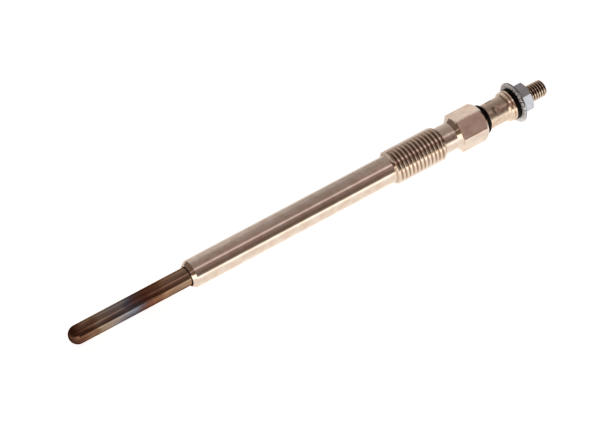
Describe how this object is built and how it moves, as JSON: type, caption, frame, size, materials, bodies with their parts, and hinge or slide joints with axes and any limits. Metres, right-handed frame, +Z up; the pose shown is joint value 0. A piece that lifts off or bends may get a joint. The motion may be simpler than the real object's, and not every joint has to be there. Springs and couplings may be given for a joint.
{
  "type": "diesel glow plug",
  "caption": "Sheathed metal glow plug: heat-tinted round-tipped tube in a nickel-plated threaded body with hexagon, insulated crimped stud terminal and serrated flange nut.",
  "frame": {"origin": "on the plug's axis, in the plane where the conical seat meets the shank", "axes": "+X along the axis from the terminal towards the glowing tip, +Z up with the plug lying on its side"},
  "size_m": [0.1549, 0.012, 0.012],
  "materials": {
    "nickel_plate": "bright nickel plate, warm",
    "tempered_alloy": "heat-tinted alloy, brown to blue",
    "resistance_wire": "drawn wire",
    "magnesia": "packed powder",
    "seal_rubber": "moulded",
    "rod_steel": "drawn",
    "black_phenolic": "moulded black",
    "zinc_plate": "bright zinc"
  },
  "bodies": {
    "root": {"plug_body": "nickel_plate", "glow_tube": "tempered_alloy", "heating_coil": "resistance_wire", "regulating_coil": "resistance_wire", "magnesia_fill": "magnesia", "tube_seal": "seal_rubber", "centre_rod": "rod_steel", "o_ring": "seal_rubber", "insulating_bush": "black_phenolic", "terminal_stud": "nickel_plate", "nut_washer": "black_phenolic", "flange_nut": "zinc_plate"}
  },
  "joints": []
}
